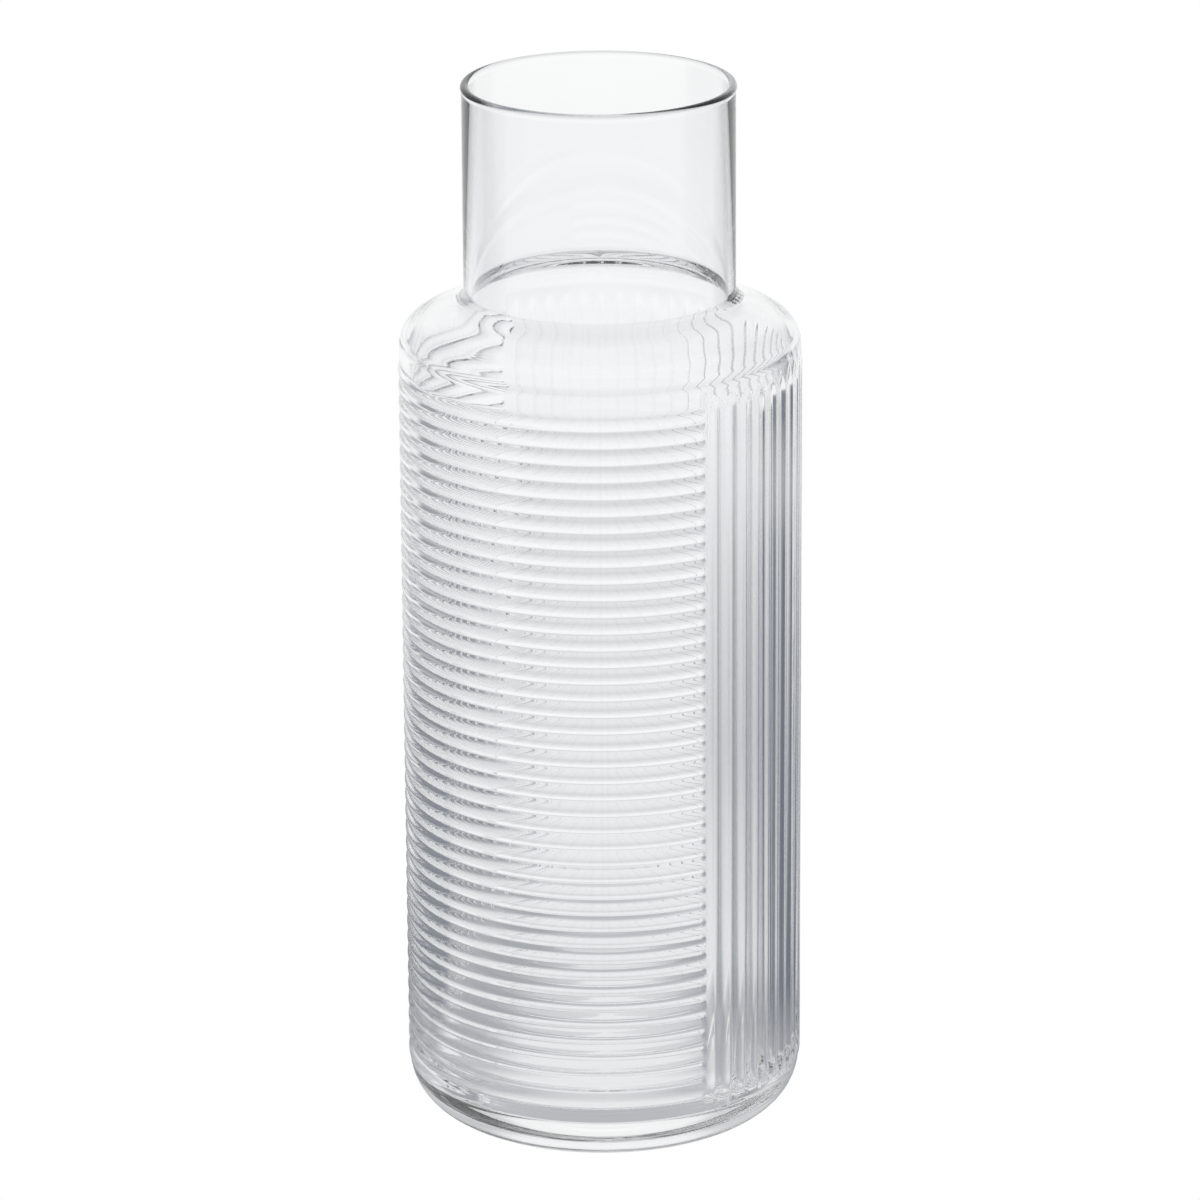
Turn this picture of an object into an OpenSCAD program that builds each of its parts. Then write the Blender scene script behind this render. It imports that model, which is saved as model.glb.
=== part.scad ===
// Clear glass carafe, mould-blown in one piece.
// One half of the side wall carries horizontal ribs, the other half upright reeds.
// Millimetres, +Z up. The origin is the centre of the base, on the table.
// The ribbed half faces -Y and the reeded half +Y, so the panels meet on the X axis.

/* [Body] */
// Outer diameter over the ribs and reeds
body_d = 98; // [92:1:108]
// Height of the straight side wall, from the table to the foot of the shoulder
wall_h = 196.5; // [170:0.5:220]
// Glass thickness of the side wall, measured at the top of a rib
body_wall = 3.2; // [2.4:0.1:5]
// Glass thickness of the floor at its edge
floor_t = 10; // [7:0.5:14]
// Outer rounding where the side wall turns into the base
heel_r = 13; // [10:0.5:16]
// Inner rounding where the side wall turns into the floor
floor_corner_r = 9; // [5:0.5:14]
// How far the ribs and reeds stand out from the plain heel and shoulder
panel_proud = 0.3; // [0.1:0.05:0.6]

/* [Base] */
// Width of the flat ring that stands on the table
foot_ring_w = 4; // [2:0.5:8]
// Height of the shallow push-up under the base
punt_h = 2.2; // [1:0.1:4]

/* [Shoulder] */
// Outer rounding between the side wall and the shoulder
shoulder_r = 7; // [5:0.5:9]
// Slope of the shoulder above the horizontal, in degrees
shoulder_angle = 24; // [15:1:35]
// Glass thickness of the sloping shoulder
shoulder_wall = 2.5; // [2:0.1:3.5]
// Inner rounding between the side wall and the shoulder
shoulder_inner_r = 4.5; // [3:0.5:6]

/* [Neck] */
// Outer diameter of the straight neck
neck_d = 65.8; // [58:0.2:74]
// Height of the straight neck, from the fillet at its foot to the rim
neck_h = 50.6; // [30:0.5:80]
// Glass thickness of the neck
neck_wall = 1.8; // [1.4:0.1:2.6]
// Hollow rounding where the neck rises from the shoulder
neck_fillet_r = 3.4; // [2:0.2:6]
// How far the fire-polished lip stands out from the neck
lip_proud = 0.25; // [0.1:0.05:0.6]

/* [Horizontal ribs] */
// Distance from one rib to the next
rib_pitch = 4.2; // [3:0.1:6]
// Depth of the grooves between the ribs
rib_depth = 0.7; // [0.4:0.05:1]
// Height of the lowest groove above the table
rib_low = 16; // [15:0.1:30]
// Wall left between the highest groove and the shoulder
rib_top_gap = 7; // [3:0.5:20]

/* [Upright reeds] */
// Smooth strip between the ends of the ribs and the first reed
strip_w = 0.6; // [0.3:0.1:3]
// Number of grooves on the reeded half
reed_count = 32; // [20:1:40]
// Depth of the grooves between the reeds
reed_depth = 0.8; // [0.4:0.05:1]
// Height where the grooves start to run out, above the table
reed_low = 18.5; // [17:0.5:40]
// Wall left between the full depth of the grooves and the shoulder
reed_top_gap = 6.5; // [5:0.5:20]
// Radius of the run-out that fades each groove into a point
runout_r = 14; // [6:1:24]
// Height over which the reeded wall fades into the shoulder
reed_fade_h = 5.2; // [3:0.2:6]

/* [Hidden] */
// Facets of a full circle where one is drawn
$fn = 96;
// How much of each reed's round crown is cut flat by the wall
crown_cut = 0.08;
// Overlap that lets a cut pass clear of a surface
over = 1;

body_r = body_d / 2;
plain_r = body_r - panel_proud;
neck_r = neck_d / 2;
body_in_r = body_r - body_wall;
bore_r = neck_r - neck_wall;
lip_r = (neck_wall + lip_proud) / 2;
punt_edge_r = plain_r - heel_r - foot_ring_w;
punt_ball_r = (punt_edge_r * punt_edge_r + punt_h * punt_h) / (2 * punt_h);

// Height of the inner shoulder's foot that gives the shoulder its thickness
shoulder_dr = shoulder_r - shoulder_inner_r;
inner_wall_h = wall_h
    + (shoulder_dr + sin(shoulder_angle) * (plain_r - body_in_r - shoulder_dr) - shoulder_wall)
    / cos(shoulder_angle);

// Point where the shoulder's rounding turns into its straight slope
function slope_start(r, z, round_r) =
    [r - round_r + round_r * sin(shoulder_angle), z + round_r * cos(shoulder_angle)];
// Centre of the fillet that is tangent to the slope and to the neck
function fillet_centre(start, r, fillet_r) =
    [r + fillet_r,
     start[1] + (fillet_r - sin(shoulder_angle) * (r + fillet_r - start[0])) / cos(shoulder_angle)];

neck_foot_z = fillet_centre(slope_start(plain_r, wall_h, shoulder_r), neck_r, neck_fillet_r)[1];
rim_z = neck_foot_z + neck_h;

// Radius of the arc with this rise over this half width
function arc_r(half_width, rise) = (rise * rise + half_width * half_width) / (2 * rise);

rib_r = arc_r(rib_pitch / 2, rib_depth);
rib_grooves = floor((wall_h - rib_top_gap - rib_low) / rib_pitch) + 1;
crest_low = rib_low - rib_pitch / 2;
crest_high = crest_low + rib_grooves * rib_pitch;
strip_angle = asin(strip_w / body_r);
reed_step = (180 - 2 * strip_angle) / reed_count;
reed_half_w = body_r * sin(reed_step / 2);
reed_r = arc_r(reed_half_w, reed_depth + crown_cut);
reed_high = wall_h - reed_top_gap;
reed_fade_r = arc_r(reed_fade_h, panel_proud);
reed_fade_z = wall_h - reed_fade_h;

// Half section of a round vessel with a heel, a sloping shoulder, a filleted neck and a straight neck
module vessel_section(r, neck, floor_z, heel, shoulder_z, round_r, fillet_r, top_z) {
    start = slope_start(r, shoulder_z, round_r);
    fillet = fillet_centre(start, neck, fillet_r);
    foot = fillet - fillet_r * [sin(shoulder_angle), cos(shoulder_angle)];
    translate([0, floor_z + heel])
        square([r, shoulder_z - floor_z - heel]);
    translate([0, floor_z])
        square([r - heel, heel]);
    translate([r - heel, floor_z + heel])
        circle(heel);
    translate([r - round_r, shoulder_z])
        circle(round_r);
    polygon([[0, shoulder_z], [r - round_r, shoulder_z], start, foot, [0, foot[1]]]);
    difference() {
        polygon([[0, foot[1]], foot, fillet, [neck, fillet[1]], [0, fillet[1]]]);
        translate(fillet)
            circle(fillet_r);
    }
    translate([0, fillet[1]])
        square([neck, top_z - fillet[1]]);
}

// The vessel's outer shape without ribs and reeds, and its rounded lip
module plain_section() {
    vessel_section(plain_r, neck_r, 0, heel_r, wall_h, shoulder_r, neck_fillet_r, rim_z - lip_r);
    translate([bore_r + lip_r, rim_z - lip_r])
        circle(lip_r);
}

// The inside of the vessel and the push-up under its base
module hollow_section() {
    vessel_section(body_in_r, bore_r, floor_t, floor_corner_r, inner_wall_h, shoulder_inner_r,
        neck_fillet_r + neck_wall, rim_z + over);
    translate([0, punt_h - punt_ball_r])
        circle(punt_ball_r);
}

module rib_crown(z) {
    translate([body_r - rib_r, z])
        circle(rib_r);
}

module ribbed_section() {
    difference() {
        union() {
            difference() {
                plain_section();
                translate([body_r - 2 * rib_depth, crest_low])
                    square([2 * rib_depth, crest_high - crest_low]);
            }
            for (i = [0 : rib_grooves])
                rib_crown(crest_low + i * rib_pitch);
        }
        hollow_section();
    }
}

// The reeded wall starts on the same crown as the ribs and fades into the shoulder
module reeded_section() {
    difference() {
        union() {
            plain_section();
            rib_crown(crest_low);
            translate([body_in_r, crest_low])
                square([body_wall, reed_fade_z - crest_low]);
            intersection() {
                translate([body_r - reed_fade_r, reed_fade_z])
                    circle(reed_fade_r);
                translate([body_in_r, reed_fade_z])
                    square([body_wall + over, reed_fade_h]);
            }
        }
        hollow_section();
    }
}

// Section of one reed groove: the space left between two round crowns, seen from the axis outwards
module groove_section() {
    mouth = reed_half_w - crown_cut;
    difference() {
        translate([body_r - reed_r / 2, -mouth])
            square([reed_r / 2 + over, 2 * mouth]);
        for (side = [-1, 1])
            translate([body_r + crown_cut - reed_r, side * reed_half_w])
                circle(reed_r);
    }
}

// One upright groove, straight for its length and lifted out along an arc at both ends
module reed_groove() {
    pivot_x = body_r - reed_depth + runout_r;
    translate([0, 0, reed_low])
        linear_extrude(reed_high - reed_low)
            groove_section();
    for (end = [[reed_high, 0], [reed_low, 1]])
        translate([pivot_x, 0, end[0]])
            mirror([0, 0, end[1]])
                rotate([90, 0, 0])
                    rotate_extrude(angle = 90, start = 90)
                        translate([pivot_x, 0])
                            mirror([1, 0])
                                groove_section();
}

module ribbed_half() {
    rotate_extrude(angle = 180, start = 180)
        ribbed_section();
}

module reeded_half() {
    difference() {
        rotate_extrude(angle = 180)
            reeded_section();
        for (i = [0 : reed_count - 1])
            rotate(strip_angle + (i + 0.5) * reed_step)
                reed_groove();
    }
}

module glass_body() {
    color([0.86, 0.9, 0.91, 0.5])
        union() {
            ribbed_half();
            reeded_half();
        }
}

glass_body();
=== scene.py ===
import math

import bmesh
import bpy
from mathutils import Matrix


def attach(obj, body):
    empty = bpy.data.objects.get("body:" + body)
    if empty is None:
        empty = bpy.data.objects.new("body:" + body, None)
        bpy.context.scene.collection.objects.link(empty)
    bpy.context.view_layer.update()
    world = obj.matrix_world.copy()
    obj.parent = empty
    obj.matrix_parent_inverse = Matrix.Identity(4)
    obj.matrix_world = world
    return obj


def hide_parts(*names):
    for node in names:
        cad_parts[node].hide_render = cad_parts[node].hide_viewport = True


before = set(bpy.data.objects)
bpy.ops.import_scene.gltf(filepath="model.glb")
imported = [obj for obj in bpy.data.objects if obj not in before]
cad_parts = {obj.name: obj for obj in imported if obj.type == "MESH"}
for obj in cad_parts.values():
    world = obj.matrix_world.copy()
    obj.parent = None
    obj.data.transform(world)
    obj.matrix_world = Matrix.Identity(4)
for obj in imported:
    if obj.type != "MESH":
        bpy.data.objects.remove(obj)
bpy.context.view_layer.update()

# The photographer's place: a long lens from above, well round towards the seam
# where the ribbed half and the reeded half meet.
view_turn = math.radians(59.4)
view_distance = 1.4717
view_side_step = -0.0004
view_height = 0.6203
view_tilt_down = math.radians(18.407)
view_roll = math.radians(-0.358)

camera = bpy.data.objects.new("photo_camera", bpy.data.cameras.new("photo_camera"))
camera.data.sensor_width = 36.0
camera.data.lens = 189.73
camera.data.clip_start = 0.05
camera.data.clip_end = 50.0
camera.matrix_world = (
    Matrix.Rotation(view_turn, 4, "Z")
    @ Matrix.Translation((view_side_step, -view_distance, view_height))
    @ Matrix.Rotation(math.pi / 2 - view_tilt_down, 4, "X")
    @ Matrix.Rotation(view_roll, 4, "Z")
)
bpy.context.scene.collection.objects.link(camera)
bpy.context.scene.camera = camera

# The carafe is one piece of clear soda-lime glass, blown into a mould. The mould gives one half of
# the wall horizontal ribs and the other half upright reeds. The neck is cracked off above the
# mould and its lip is rounded in the flame.
body_r = 0.0490
rim_z = 0.2609
wall_h = 0.1965
body_wall = 0.0032
panel_proud = 0.0003
plain_r = body_r - panel_proud
floor_t = 0.010
heel_r = 0.013
floor_corner_r = 0.009
foot_ring_w = 0.004
punt_h = 0.0022
shoulder_r = 0.007
shoulder_slope = math.radians(24)
shoulder_inner_r = 0.0045
shoulder_wall = 0.0025
neck_r = 0.0329
neck_wall = 0.0018
neck_fillet_r = 0.0034
lip_proud = 0.00025

rib_pitch = 0.0042
rib_low = 0.0160
rib_count = 42
rib_depth = 0.0007
rib_end_blend = 0.0010
strip_w = 0.0006
reed_count = 32
reed_depth = 0.0008
reed_low = 0.0185
reed_high = 0.1900
reed_runout = 0.014
reed_fade_h = 0.0052
groove_softness = 0.00015


def arc_r(half_width, rise):
    """Radius of the arc with this rise over this half width."""
    return (rise ** 2 + half_width ** 2) / (2 * rise)


def sag(radius, off):
    """How far an arc has dropped at a distance from its top."""
    off = min(abs(off), radius)
    return radius - math.sqrt(radius ** 2 - off ** 2)


rib_crown_r = arc_r(rib_pitch / 2, rib_depth)
strip_angle = math.asin(strip_w / body_r)
reed_step = (math.pi - 2 * strip_angle) / reed_count
reed_crown_r = arc_r(body_r * reed_step / 2, reed_depth)
reed_fade_r = arc_r(reed_fade_h, panel_proud)
crest_low = rib_low - rib_pitch / 2
crest_high = crest_low + rib_count * rib_pitch
flank = math.sqrt(2 * rib_crown_r * panel_proud - panel_proud ** 2)
ledge_z = crest_low - flank


def arc(centre, radius, start, end, steps):
    """Points of a rounding in the half section, as (radius from the axis, height)."""
    turns = [math.radians(start + (end - start) * i / steps) for i in range(steps + 1)]
    return [(centre[0] + radius * math.cos(a), centre[1] + radius * math.sin(a)) for a in turns]


def soften(points, spacing, passes):
    """Eases the joints of a half section: even points, each drawn to the middle of its neighbours."""
    reached = [0.0]
    for start, end in zip(points, points[1:]):
        reached.append(reached[-1] + math.dist(start, end))
    count = round(reached[-1] / spacing)
    even = [points[0]]
    for step in range(1, count):
        length = reached[-1] * step / count
        n = next(i for i, far in enumerate(reached) if far > length)
        share = (length - reached[n - 1]) / (reached[n] - reached[n - 1])
        even.append(tuple(a + (b - a) * share for a, b in zip(points[n - 1], points[n])))
    even.append(points[-1])
    for _ in range(passes):
        inner = zip(even[1:], even[2:], even[3:])
        middle = [tuple((a + 2 * b + c) / 4 for a, b, c in zip(*near)) for near in list(inner)[:-1]]
        even = even[:2] + middle + even[-2:]
    return even


def shoulder_and_neck(r, neck, foot_z, round_r, fillet_r):
    """Half section from the top of a straight wall, over the shoulder, to the foot of the neck."""
    slope = math.degrees(shoulder_slope)
    rounding = arc((r - round_r, foot_z), round_r, 0, 90 - slope, steps=24)
    start_r, start_z = rounding[-1]
    rise = fillet_r - math.sin(shoulder_slope) * (neck + fillet_r - start_r)
    fillet_middle = (neck + fillet_r, start_z + rise / math.cos(shoulder_slope))
    fillet = arc(fillet_middle, fillet_r, 270 - slope, 180, steps=24)
    return soften(rounding + fillet, spacing=0.0008, passes=6)


def reed_rows():
    """Heights along an upright groove: close where it runs out, wide where it is straight."""
    runs = 12
    straight = 18
    low = [ledge_z + (reed_low - ledge_z) * (i / runs) ** 1.5 for i in range(1, runs)]
    high = [reed_high + (wall_h - reed_high) * i / runs for i in range(runs)]
    middle = [reed_low + (reed_high - reed_low) * i / straight for i in range(straight)]
    return low + middle + high


def rib_rows():
    """Heights across each horizontal groove, closer together in its bottom."""
    across = (-0.5, -0.3, -0.16, -0.06, 0.0, 0.06, 0.16, 0.3)
    grooves = [rib_low + (n + t) * rib_pitch for n in range(rib_count) for t in across]
    top = [crest_high + flank * t for t in (0.0, 0.4, 0.75, 1.0)]
    return grooves + top


reed_heights = reed_rows()
least_gap = 0.00012
rib_heights = sorted(reed_heights + [
    z for z in rib_rows() if min(abs(z - other) for other in reed_heights) > least_gap
])

punt_edge_r = plain_r - heel_r - foot_ring_w
punt_edge_w = 0.0006
punt_edge_turn = 0.15
punt_ball_r = arc_r(punt_edge_r, punt_h)
punt_edge = math.degrees(math.acos(punt_edge_r / punt_ball_r))
punt = arc((0, punt_h - punt_ball_r), punt_ball_r, 90, punt_edge + punt_edge_turn, steps=6)
punt[0] = (0, punt_h)
punt += [(punt_edge_r, 0), (punt_edge_r + punt_edge_w, 0)]
heel_end = math.degrees(math.asin((ledge_z - heel_r) / heel_r))
heel = arc((plain_r - heel_r, heel_r), heel_r, -90, heel_end, steps=14)
outer_shoulder = shoulder_and_neck(plain_r, neck_r, wall_h, shoulder_r, neck_fillet_r)

bore_r = neck_r - neck_wall
lip_r = (neck_wall + lip_proud) / 2
lip_start = -math.degrees(math.acos((neck_wall - lip_r) / lip_r))
lip = arc((bore_r + lip_r, rim_z - lip_r), lip_r, lip_start, 180, steps=12)
below_lip = [(neck_r, lip[0][1] - drop) for drop in (0.0018, 0.0004)]

body_in_r = body_r - body_wall
round_step = shoulder_r - shoulder_inner_r
wall_step = plain_r - body_in_r - round_step
inner_rise = round_step + math.sin(shoulder_slope) * wall_step - shoulder_wall
inner_wall_h = wall_h + inner_rise / math.cos(shoulder_slope)
inner_shoulder = shoulder_and_neck(
    body_in_r, bore_r, inner_wall_h, shoulder_inner_r, neck_fillet_r + neck_wall
)
corner_middle = (body_in_r - floor_corner_r, floor_t + floor_corner_r)
floor_corner = arc(corner_middle, floor_corner_r, 0, -90, steps=10)
inner_steps = 12
inner_wall = [
    (body_in_r, inner_wall_h + (floor_t + floor_corner_r - inner_wall_h) * i / inner_steps)
    for i in range(1, inner_steps)
]
floor_inside = [(floor_corner[-1][0] / 2, floor_t), (0, floor_t)]


def spin_half(shape, wall_heights, turn, steps):
    """Spins the half section, from under the base to the floor inside, through half a turn."""
    outside = punt + heel + [(plain_r, z) for z in wall_heights] + outer_shoulder + below_lip + lip
    inside = inner_shoulder[::-1] + inner_wall + floor_corner + floor_inside
    corners = [shape.verts.new((r, 0, z)) for r, z in outside + inside]
    edges = [shape.edges.new(pair) for pair in zip(corners, corners[1:])]
    bmesh.ops.spin(shape, geom=corners + edges, axis=(0, 0, 1), angle=turn, steps=steps)


same_place = 1e-6


def on_wall(vert):
    """True for a point of the outer wall, between the heel and the shoulder."""
    at_wall_r = abs(math.hypot(vert.co.x, vert.co.y) - plain_r) < same_place
    return at_wall_r and ledge_z - same_place < vert.co.z < wall_h + same_place


# The reeded half, with the same number of columns on each reed and a plain column beside each seam. Its
# seam edges are cut where the ribbed half has its rows, so that the two halves share their points.
reed_columns = 8
reed_steps = reed_count * reed_columns + 2
reeds = bmesh.new()
spin_half(reeds, reed_heights, math.pi, reed_steps)
for vert in reeds.verts:
    r = math.hypot(vert.co.x, vert.co.y)
    column = round(math.atan2(vert.co.y, vert.co.x) / math.pi * reed_steps)
    if abs(vert.co.y) < same_place:
        continue
    turn = strip_angle + (column - 1) * reed_step / reed_columns
    vert.co.x = r * math.cos(turn)
    vert.co.y = r * math.sin(turn)
seam_edges = [e for e in reeds.edges if all(on_wall(v) and abs(v.co.y) < same_place for v in e.verts)]
for edge in seam_edges:
    low_z, high_z = sorted(v.co.z for v in edge.verts)
    between = [z for z in rib_heights if low_z + same_place < z < high_z - same_place]
    if not between:
        continue
    ends = set(edge.verts)
    cut = bmesh.ops.subdivide_edges(reeds, edges=[edge], cuts=len(between))
    added = [g for g in cut["geom_inner"] if isinstance(g, bmesh.types.BMVert) and g not in ends]
    for vert, z in zip(sorted(added, key=lambda v: v.co.z), between):
        vert.co.z = z
reed_mesh = bpy.data.meshes.new("reeded_half")
reeds.to_mesh(reed_mesh)
reeds.free()

# The ribbed half, with its columns crowded towards the seams, where the ribs end. The two halves are then
# joined to one skin of glass.
rib_steps = 112
crowding = 0.7
glass = bmesh.new()
spin_half(glass, rib_heights, -math.pi, rib_steps)
for vert in glass.verts:
    r = math.hypot(vert.co.x, vert.co.y)
    turn = math.atan2(vert.co.y, vert.co.x)
    if abs(vert.co.y) < same_place:
        continue
    turn += crowding * math.sin(2 * -turn) / 2
    vert.co.x = r * math.cos(turn)
    vert.co.y = r * math.sin(turn)
glass.from_mesh(reed_mesh)
bpy.data.meshes.remove(reed_mesh)
bmesh.ops.remove_doubles(glass, verts=glass.verts, dist=2 * same_place)


def groove_depth(off, half_pitch, crown_r):
    """Depth below the crowns at a distance from a groove's middle: two round crowns and a soft bottom."""
    from_crown = half_pitch - math.hypot(off, groove_softness) + groove_softness / 2
    return sag(crown_r, max(0.0, from_crown))


def reeded_r(turn, z):
    """Radius of the reeded wall."""
    fade_low = sag(rib_crown_r, min(0.0, z - crest_low))
    fade_high = sag(reed_fade_r, max(0.0, z - wall_h + reed_fade_h))
    wall = max(plain_r, body_r - fade_low - fade_high)
    along = (turn - strip_angle) / reed_step
    if along < 0 or along > reed_count:
        return wall
    off = body_r * (along % 1.0 - 0.5) * reed_step
    depth = groove_depth(off, body_r * reed_step / 2, reed_crown_r)
    depth -= sag(reed_runout, max(0.0, z - reed_high, reed_low - z))
    return wall if depth < 0 else min(wall, body_r - depth)


def ribbed_r(z):
    """Radius of the ribbed wall."""
    if z < crest_low or z > crest_high:
        return max(plain_r, body_r - sag(rib_crown_r, max(crest_low - z, z - crest_high)))
    off = (z - rib_low + rib_pitch / 2) % rib_pitch - rib_pitch / 2
    return body_r - groove_depth(off, rib_pitch / 2, rib_crown_r)


for vert in [v for v in glass.verts if on_wall(v)]:
    turn = math.atan2(vert.co.y, vert.co.x)
    if vert.co.y < -same_place:
        from_seam = body_r * min(-turn, math.pi + turn)
        share = min(from_seam / rib_end_blend, 1.0)
        share = share * share * (3 - 2 * share)
        r = reeded_r(0.0, vert.co.z) * (1 - share) + ribbed_r(vert.co.z) * share
    else:
        r = reeded_r(turn, vert.co.z)
    vert.co.x = r * math.cos(turn)
    vert.co.y = r * math.sin(turn)

bmesh.ops.recalc_face_normals(glass, faces=glass.faces)
for face in glass.faces:
    face.smooth = True
carafe_mesh = bpy.data.meshes.new("glass_carafe")
glass.to_mesh(carafe_mesh)
glass.free()
carafe = bpy.data.objects.new("glass_carafe", carafe_mesh)
bpy.context.scene.collection.objects.link(carafe)

clear_glass = bpy.data.materials.new("clear_glass")
clear_glass.use_nodes = True
shader = clear_glass.node_tree.nodes["Principled BSDF"]
shader.inputs["Base Color"].default_value = (0.990, 0.993, 0.995, 1.0)
shader.inputs["Roughness"].default_value = 0.0
shader.inputs["IOR"].default_value = 1.51
shader.inputs["Transmission Weight"].default_value = 1.0
carafe.data.materials.append(clear_glass)

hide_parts("glass_body")
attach(carafe, "root")

# The table is a plain white sheet that runs out of sight on all sides. For the glass, the carafe's soft
# shadow is painted round its foot as greys, and dark patches of painted shade lie round it like cards to
# draw the lines in the glass. The camera sees it plain white.
table_r = 12.0
table_gap = 0.0002
table_shape = bmesh.new()
under_foot = Matrix.Translation((0.0, 0.0, -table_gap))
bmesh.ops.create_circle(table_shape, cap_ends=True, segments=64, radius=table_r, matrix=under_foot)
table_mesh = bpy.data.meshes.new("white_table")
table_shape.to_mesh(table_mesh)
table_shape.free()
table = bpy.data.objects.new("white_table", table_mesh)
bpy.context.scene.collection.objects.link(table)

# One soft-edged card of the studio, laid over what is behind it.
card = bpy.data.node_groups.new("studio_card", "ShaderNodeTree")
for name, kind in (
    ("Behind", "NodeSocketColor"), ("Turn", "NodeSocketFloat"), ("Height", "NodeSocketFloat"),
    ("Middle", "NodeSocketFloat"), ("Half Width", "NodeSocketFloat"), ("Half Height", "NodeSocketFloat"),
    ("Level", "NodeSocketFloat"), ("Card", "NodeSocketColor"), ("Side Edge", "NodeSocketFloat"),
    ("End Edge", "NodeSocketFloat"),
):
    card.interface.new_socket(name, in_out="INPUT", socket_type=kind)
card.interface.new_socket("Seen", in_out="OUTPUT", socket_type="NodeSocketColor")
nodes = card.nodes
links = card.links
given = nodes.new("NodeGroupInput")
result = nodes.new("NodeGroupOutput")
masks = []
for value, centre, half, soft in (
    ("Turn", "Middle", "Half Width", "Side Edge"), ("Height", "Level", "Half Height", "End Edge"),
):
    off = nodes.new("ShaderNodeMath")
    off.operation = "SUBTRACT"
    links.new(given.outputs[value], off.inputs[0])
    links.new(given.outputs[centre], off.inputs[1])
    if value == "Turn":
        around = nodes.new("ShaderNodeMath")
        around.operation = "WRAP"
        around.inputs[1].default_value = 180.0
        around.inputs[2].default_value = -180.0
        links.new(off.outputs[0], around.inputs[0])
        off = around
    far = nodes.new("ShaderNodeMath")
    far.operation = "ABSOLUTE"
    links.new(off.outputs[0], far.inputs[0])
    inside = nodes.new("ShaderNodeMath")
    inside.operation = "SUBTRACT"
    links.new(given.outputs[half], inside.inputs[0])
    links.new(far.outputs[0], inside.inputs[1])
    share = nodes.new("ShaderNodeMath")
    share.operation = "DIVIDE"
    links.new(inside.outputs[0], share.inputs[0])
    links.new(given.outputs[soft], share.inputs[1])
    mask = nodes.new("ShaderNodeMapRange")
    mask.interpolation_type = "SMOOTHSTEP"
    mask.inputs["From Min"].default_value = -1.0
    mask.inputs["From Max"].default_value = 1.0
    links.new(share.outputs[0], mask.inputs["Value"])
    masks.append(mask)
both = nodes.new("ShaderNodeMath")
both.operation = "MULTIPLY"
links.new(masks[0].outputs[0], both.inputs[0])
links.new(masks[1].outputs[0], both.inputs[1])
cover = nodes.new("ShaderNodeMixRGB")
links.new(both.outputs[0], cover.inputs["Fac"])
links.new(given.outputs["Behind"], cover.inputs["Color1"])
links.new(given.outputs["Card"], cover.inputs["Color2"])
links.new(cover.outputs[0], result.inputs["Seen"])


def cool(grey):
    """A grey that turns a little blue as it gets darker."""
    less_red = 0.02 * (1 - grey)
    more_blue = 0.04 * (1 - grey)
    return (grey - less_red, grey, grey + more_blue, 1.0)


def turn_from_sight(nodes, links, vector):
    """How far a vector turns to the left of the photographer's line of sight, in degrees."""
    ahead = nodes.new("ShaderNodeMapping")
    ahead.inputs["Rotation"].default_value = (0.0, 0.0, -math.pi / 2 - view_turn)
    links.new(vector, ahead.inputs["Vector"])
    split = nodes.new("ShaderNodeSeparateXYZ")
    links.new(ahead.outputs[0], split.inputs[0])
    arc_turn = nodes.new("ShaderNodeMath")
    arc_turn.operation = "ARCTAN2"
    links.new(split.outputs["Y"], arc_turn.inputs[0])
    links.new(split.outputs["X"], arc_turn.inputs[1])
    turn = nodes.new("ShaderNodeMath")
    turn.operation = "DEGREES"
    links.new(arc_turn.outputs[0], turn.inputs[0])
    return turn


def grey_steps(nodes, links, value, greys):
    """Greys that blend from step to step along a value."""
    first, last = greys[0][0], greys[-1][0]
    along = nodes.new("ShaderNodeMapRange")
    along.inputs["From Min"].default_value = first
    along.inputs["From Max"].default_value = last
    links.new(value.outputs[0], along.inputs["Value"])
    ramp = nodes.new("ShaderNodeValToRGB")
    links.new(along.outputs[0], ramp.inputs[0])
    while len(ramp.color_ramp.elements) < len(greys):
        ramp.color_ramp.elements.new(1.0)
    for element, (at, grey) in zip(ramp.color_ramp.elements, greys):
        element.position = (at - first) / (last - first)
        element.color = cool(grey)
    return ramp


def hang_cards(nodes, links, seen, turn, height, cards):
    """Cards over what is seen, each with its two sides, its two ends, the softness of both, and its grey."""
    for start, end, bottom, top, side_edge, end_edge, grey in cards:
        hung = nodes.new("ShaderNodeGroup")
        hung.node_tree = card
        hung.inputs["Middle"].default_value = (start + end) / 2
        hung.inputs["Half Width"].default_value = (end - start) / 2
        hung.inputs["Level"].default_value = (bottom + top) / 2
        hung.inputs["Half Height"].default_value = (top - bottom) / 2
        hung.inputs["Side Edge"].default_value = side_edge
        hung.inputs["End Edge"].default_value = end_edge
        hung.inputs["Card"].default_value = cool(grey)
        links.new(turn.outputs[0], hung.inputs["Turn"])
        links.new(height.outputs[0], hung.inputs["Height"])
        links.new(seen.outputs[0], hung.inputs["Behind"])
        seen = hung
    return seen


def white_for_camera(nodes, links, seen):
    """Plain white for the camera, and for the glass what is seen."""
    path = nodes.new("ShaderNodeLightPath")
    mix = nodes.new("ShaderNodeMixRGB")
    mix.inputs["Color2"].default_value = (1.0, 1.0, 1.0, 1.0)
    links.new(path.outputs["Is Camera Ray"], mix.inputs["Fac"])
    links.new(seen.outputs[0], mix.inputs["Color1"])
    return mix


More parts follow.
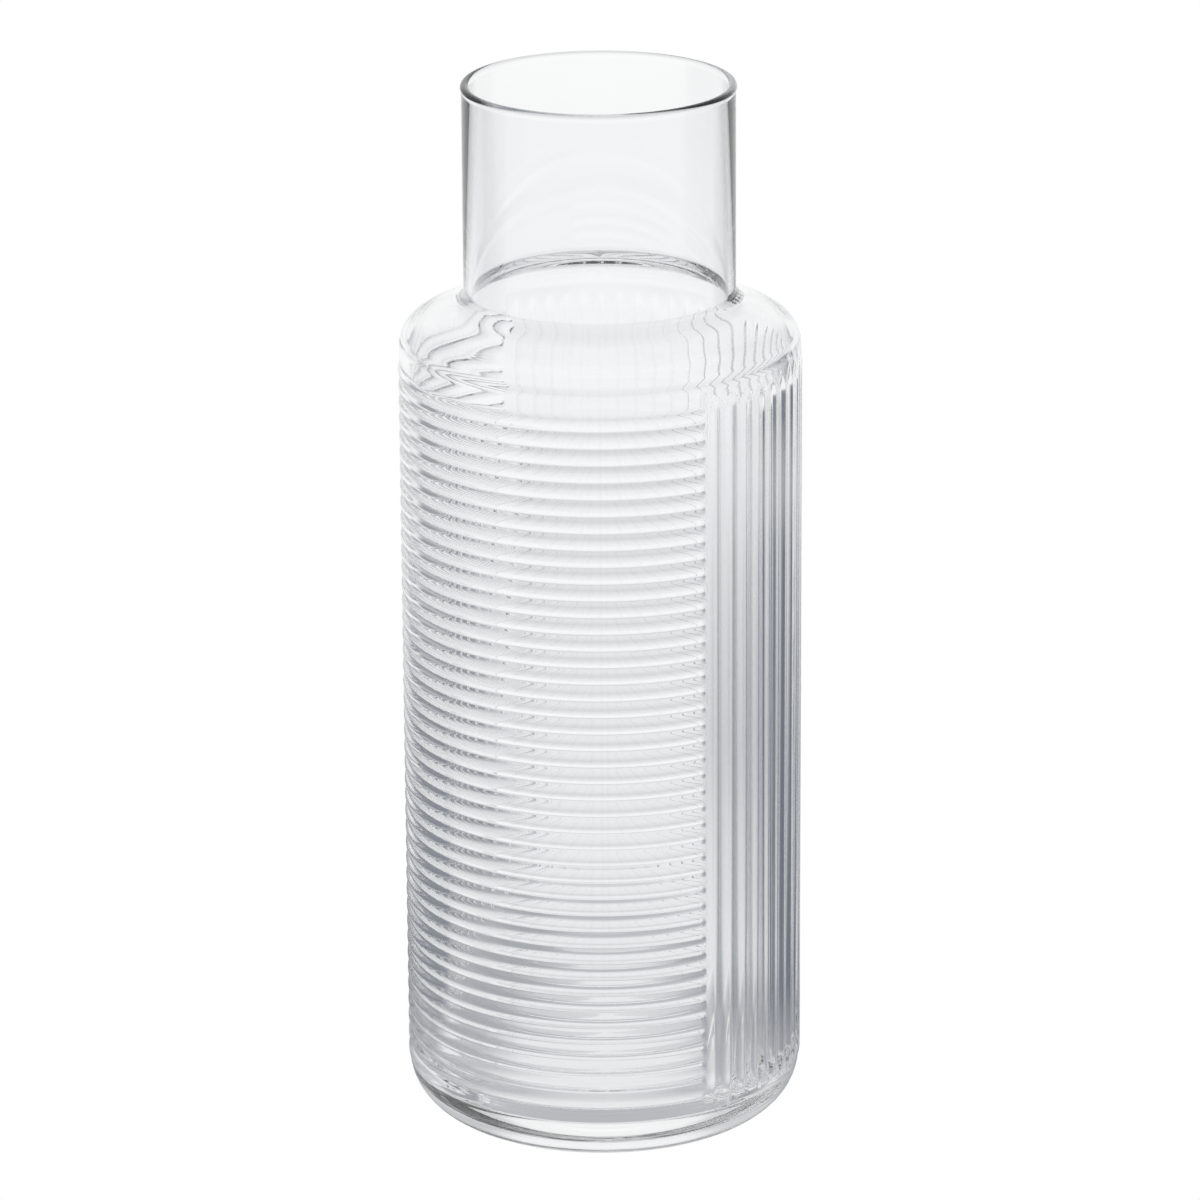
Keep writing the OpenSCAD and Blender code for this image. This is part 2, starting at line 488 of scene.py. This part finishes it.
white_sheet = bpy.data.materials.new("white_sheet")
white_sheet.use_nodes = True
white_sheet.cycles.emission_sampling = "NONE"
nodes = white_sheet.node_tree.nodes
links = white_sheet.node_tree.links
nodes.remove(nodes["Principled BSDF"])
glow = nodes.new("ShaderNodeEmission")
links.new(glow.outputs[0], nodes["Material Output"].inputs["Surface"])
place = nodes.new("ShaderNodeNewGeometry")
turn = turn_from_sight(nodes, links, place.outputs["Position"])
reach = nodes.new("ShaderNodeVectorMath")
reach.operation = "LENGTH"
links.new(place.outputs["Position"], reach.inputs[0])
reach_cm = nodes.new("ShaderNodeMath")
reach_cm.operation = "MULTIPLY"
reach_cm.inputs[1].default_value = 100.0
links.new(reach.outputs["Value"], reach_cm.inputs[0])
# The sheet's greys of painted shadow by their distance from the middle in centimetres. The painted cards'
# sides are in degrees from the line of sight, and their ends in centimetres from the middle.
painted_shadow_greys = [
    (0, 0.82), (2.5, 0.82), (3.5, 0.45), (4.5, 0.45), (7, 0.86), (14, 0.86),
    (26, 0.70), (45, 0.85), (70, 0.93), (100, 0.97), (150, 0.97),
]
sheet_with_painted_shadow = grey_steps(nodes, links, reach_cm, painted_shadow_greys)
# Dark patches of painted shade on the sheet, each laid out like a card lying round the carafe.
painted_shade_cards = [
    (95, 265, 14, 60, 20, 12, 0.55),
    (-105, -40, 4, 55, 10, 8, 0.17),
    (-66, -38, 55, 88, 6, 10, 0.15),
    (22, 90, 4, 42, 8, 12, 0.20),
    (50, 90, 45, 88, 6, 10, 0.30),
    (39, 95, 120, 2000, 4, 40, 0.40),
]
seen = hang_cards(nodes, links, sheet_with_painted_shadow, turn, reach_cm, painted_shade_cards)
links.new(white_for_camera(nodes, links, seen).outputs[0], glow.inputs["Color"])
table.data.materials.append(white_sheet)

# The studio above the table: a white backdrop, greyer at the sides and behind the photographer, and a
# pale ceiling. The camera sees plain white.
world = bpy.data.worlds.new("studio")
bpy.context.scene.world = world
world.use_nodes = True
nodes = world.node_tree.nodes
links = world.node_tree.links
where = nodes.new("ShaderNodeTexCoord")
turn = turn_from_sight(nodes, links, where.outputs["Generated"])
split = nodes.new("ShaderNodeSeparateXYZ")
links.new(where.outputs["Generated"], split.inputs[0])
arc_height = nodes.new("ShaderNodeMath")
arc_height.operation = "ARCSINE"
links.new(split.outputs["Z"], arc_height.inputs[0])
height = nodes.new("ShaderNodeMath")
height.operation = "DEGREES"
links.new(arc_height.outputs[0], height.inputs[0])
# The greys by their height above the horizon in degrees, and the cards' sides and ends in degrees too.
wall_greys = [(-90, 0.90), (2, 0.90), (8, 0.97), (28, 0.90), (50, 0.85), (90, 0.95)]
walls = grey_steps(nodes, links, height, wall_greys)
standing_cards = [
    (25, 335, -10, 6, 5, 4, 0.50),
    (25, 100, 6, 50, 8, 4, 0.65),
    (-100, -25, 6, 50, 8, 4, 0.55),
]
seen = hang_cards(nodes, links, walls, turn, height, standing_cards)
links.new(white_for_camera(nodes, links, seen).outputs[0], nodes["Background"].inputs["Color"])

# Light runs far along the inside of thick glass, so its path is followed for longer than usual. Where it is
# given up, the edges of the neck and the heel turn dark.
bpy.context.scene.cycles.max_bounces = 32
bpy.context.scene.cycles.glossy_bounces = 24
bpy.context.scene.cycles.transmission_bounces = 32
bpy.context.scene.view_settings.view_transform = "Standard"
